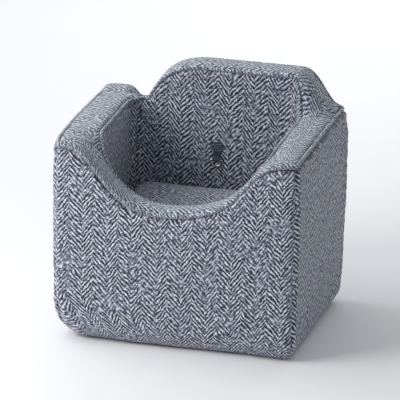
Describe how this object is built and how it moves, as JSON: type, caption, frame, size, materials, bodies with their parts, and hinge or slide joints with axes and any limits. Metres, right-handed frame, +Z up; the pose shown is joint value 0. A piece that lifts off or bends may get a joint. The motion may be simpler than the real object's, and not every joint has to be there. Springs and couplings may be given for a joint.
{
  "type": "dog booster bed",
  "caption": "Box-shaped foam dog booster bed in herringbone fabric, with a scooped front, raised back rest, lift-out cushion, zipped cover, belt loop and tether ring.",
  "frame": {"origin": "middle of the underside, on the floor", "axes": "+X to the bed's right seen from the front, -Y out of the scooped front, +Z up"},
  "size_m": [0.51, 0.443, 0.502],
  "materials": {
    "foam": "open-cell foam block, matt",
    "herringbone_tweed": "large herringbone tweed in indigo and grey-white, napped",
    "welt_tweed": "the same tweed, cut on the bias round a cord",
    "base_cloth": "dark non-slip backing cloth",
    "fibre_fill": "loose polyester fibre",
    "zip_tape": "woven zip tape, fine twill",
    "zip_coil": "nylon coil",
    "zip_metal": "tumbled die-cast",
    "webbing": "ribbed polyester webbing",
    "ring_steel": "nickel-plated wire"
  },
  "bodies": {
    "root": {"frame_base_block": "foam", "frame_front_wall": "foam", "frame_back_wall": "foam", "frame_left_wall": "foam", "frame_right_wall": "foam", "cover_front_panel": "herringbone_tweed", "cover_back_panel": "herringbone_tweed", "cover_left_panel": "herringbone_tweed", "cover_right_panel": "herringbone_tweed", "cover_base_panel": "base_cloth", "rim_band_front": "herringbone_tweed", "rim_band_back": "herringbone_tweed", "rim_band_left": "herringbone_tweed", "rim_band_right": "herringbone_tweed", "outer_welt_front": "welt_tweed", "outer_welt_back": "welt_tweed", "outer_welt_left": "welt_tweed", "outer_welt_right": "welt_tweed", "inner_welt_front": "welt_tweed", "inner_welt_back": "welt_tweed", "inner_welt_left": "welt_tweed", "inner_welt_right": "welt_tweed", "lining_front": "herringbone_tweed", "lining_back": "herringbone_tweed", "lining_left": "herringbone_tweed", "lining_right": "herringbone_tweed", "lining_floor": "herringbone_tweed", "zip_tape_upper": "zip_tape", "zip_tape_lower": "zip_tape", "zip_coil_upper": "zip_coil", "zip_coil_lower": "zip_coil", "zip_closed_stop": "zip_metal", "zip_open_stop": "zip_metal", "belt_loop": "webbing", "belt_loop_patches": "webbing", "tether_tab": "webbing", "tether_tab_patch": "webbing"},
    "cushion": {"cushion_fill": "fibre_fill", "cushion_top_cover": "herringbone_tweed", "cushion_bottom_cover": "base_cloth", "cushion_welt": "welt_tweed"},
    "zip_slider": {"zip_slider": "zip_metal"},
    "zip_pull": {"zip_pull": "zip_metal"},
    "tether_ring": {"tether_ring": "ring_steel"}
  },
  "joints": [
    {"name": "cushion_lift", "type": "slide", "parent": "root", "child": "cushion", "axis": [0, 0, 1], "range_m": [0, 0.35]},
    {"name": "zip_run", "type": "slide", "parent": "root", "child": "zip_slider", "axis": [1, 0, 0], "range_m": [-0.365, 0]},
    {"name": "zip_pull_turn", "type": "hinge", "parent": "zip_slider", "child": "zip_pull", "pos_m": [0.1835, 0.2218, 0.066], "axis": [0, 0, 1], "range_deg": [-165, 0]},
    {"name": "tether_ring_swing", "type": "hinge", "parent": "root", "child": "tether_ring", "pos_m": [0, 0.1398, 0.304], "axis": [-1, 0, 0], "range_deg": [0, 150]}
  ]
}
